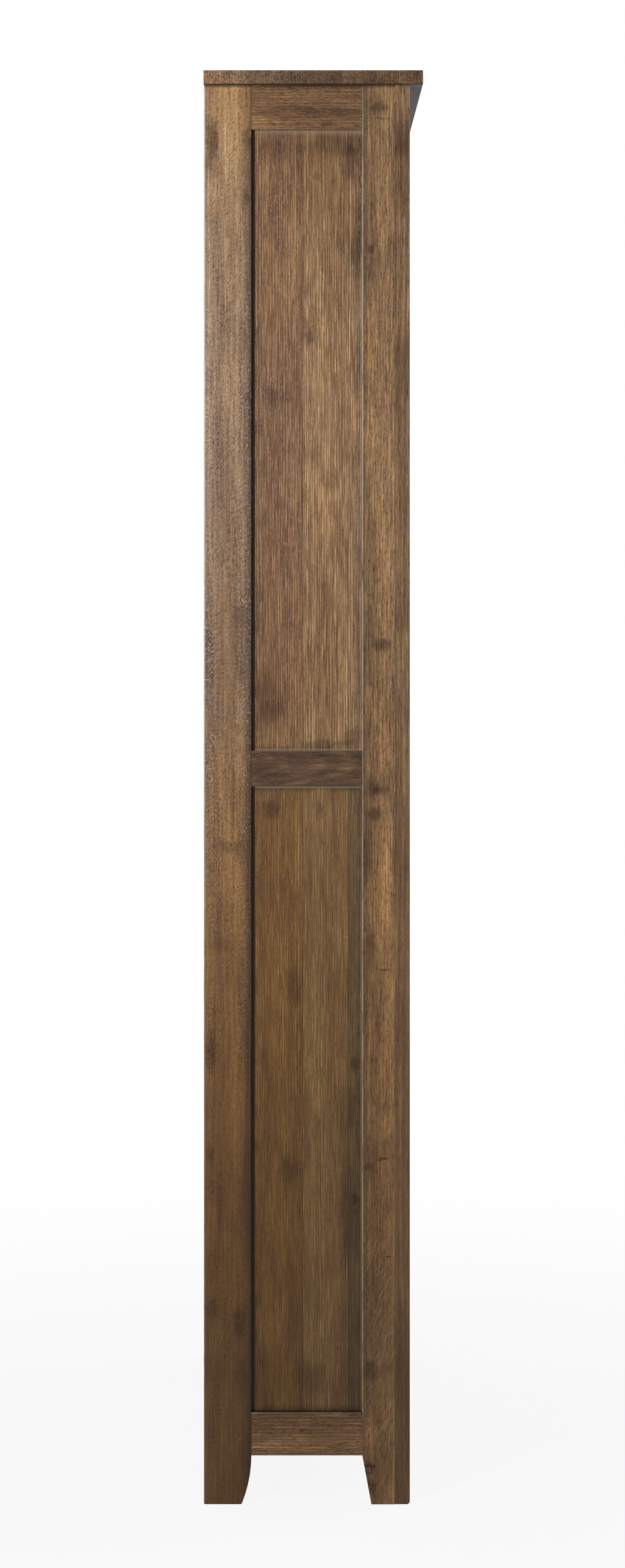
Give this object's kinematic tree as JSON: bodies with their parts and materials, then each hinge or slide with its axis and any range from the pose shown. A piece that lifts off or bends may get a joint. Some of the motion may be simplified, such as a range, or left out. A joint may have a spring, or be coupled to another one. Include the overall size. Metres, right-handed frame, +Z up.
{
  "type": "pantry cabinet",
  "caption": "Tall shallow pantry cabinet of framed panels, with an overhanging top, tapered feet, two doors on pivots with flush ring pulls, and shelves.",
  "frame": {"origin": "on the floor, under the middle of the top board", "axes": "+Z up along the height, -Y towards the doors, +X towards the right-hand door as seen by someone facing the cabinet"},
  "size_m": [0.9, 0.29, 1.9],
  "materials": {
    "oak_frame": "oiled oak, worn satin",
    "oak_panel": "oiled oak, worn satin",
    "oak_top": "oiled oak, worn satin",
    "oak_shelf": "oak, thinly oiled",
    "aged_brass": "aged, brushed",
    "steel": "zinc plated",
    "brown_plastic": "moulded, matte"
  },
  "bodies": {
    "cabinet": {"back_bottom_rail": "oak_frame", "back_lower_panel": "oak_panel", "back_middle_rail": "oak_frame", "back_top_rail": "oak_frame", "back_upper_panel": "oak_panel", "bottom_deck": "oak_shelf", "cleat_screws": "steel", "face_bottom_rail": "oak_frame", "face_top_rail": "oak_frame", "left_face_stile": "oak_frame", "left_side_bottom_rail": "oak_frame", "left_side_front_stile": "oak_frame", "left_side_lower_panel": "oak_panel", "left_side_middle_rail": "oak_frame", "left_side_rear_stile": "oak_frame", "left_side_top_rail": "oak_frame", "left_side_upper_panel": "oak_panel", "lower_shelf_1": "oak_shelf", "lower_shelf_2": "oak_shelf", "magnetic_catches": "brown_plastic", "middle_shelf": "oak_shelf", "pivot_bushes": "aged_brass", "right_face_stile": "oak_frame", "right_side_bottom_rail": "oak_frame", "right_side_front_stile": "oak_frame", "right_side_lower_panel": "oak_panel", "right_side_middle_rail": "oak_frame", "right_side_rear_stile": "oak_frame", "right_side_top_rail": "oak_frame", "right_side_upper_panel": "oak_panel", "shelf_pins": "aged_brass", "top_board": "oak_top", "top_cleats": "oak_shelf", "upper_shelf_1": "oak_shelf", "upper_shelf_2": "oak_shelf"},
    "left_door": {"left_door_bottom_rail": "oak_frame", "left_door_hinge_stile": "oak_frame", "left_door_lower_panel": "oak_panel", "left_door_meeting_stile": "oak_frame", "left_door_middle_rail": "oak_frame", "left_door_pivot_pins": "steel", "left_door_top_rail": "oak_frame", "left_door_upper_panel": "oak_panel", "left_pull_plate": "aged_brass", "left_pull_screws": "aged_brass", "left_strike_plate": "steel"},
    "right_door": {"right_door_bottom_rail": "oak_frame", "right_door_hinge_stile": "oak_frame", "right_door_lower_panel": "oak_panel", "right_door_meeting_stile": "oak_frame", "right_door_middle_rail": "oak_frame", "right_door_pivot_pins": "steel", "right_door_top_rail": "oak_frame", "right_door_upper_panel": "oak_panel", "right_pull_plate": "aged_brass", "right_pull_screws": "aged_brass", "right_strike_plate": "steel"},
    "left_ring": {"left_pull_ring": "aged_brass"},
    "right_ring": {"right_pull_ring": "aged_brass"}
  },
  "joints": [
    {"name": "left_door_hinge", "type": "hinge", "parent": "cabinet", "child": "left_door", "pos_m": [-0.376, -0.118, 0.9725], "axis": [0, 0, -1], "range_deg": [0, 95]},
    {"name": "right_door_hinge", "type": "hinge", "parent": "cabinet", "child": "right_door", "pos_m": [0.376, -0.118, 0.9725], "axis": [0, 0, 1], "range_deg": [0, 95]},
    {"name": "left_ring_swing", "type": "hinge", "parent": "left_door", "child": "left_ring", "pos_m": [-0.0317, -0.124, 1.0787], "axis": [-1, 0, 0], "range_deg": [0, 90]},
    {"name": "right_ring_swing", "type": "hinge", "parent": "right_door", "child": "right_ring", "pos_m": [0.0317, -0.124, 1.0787], "axis": [-1, 0, 0], "range_deg": [0, 90]}
  ]
}
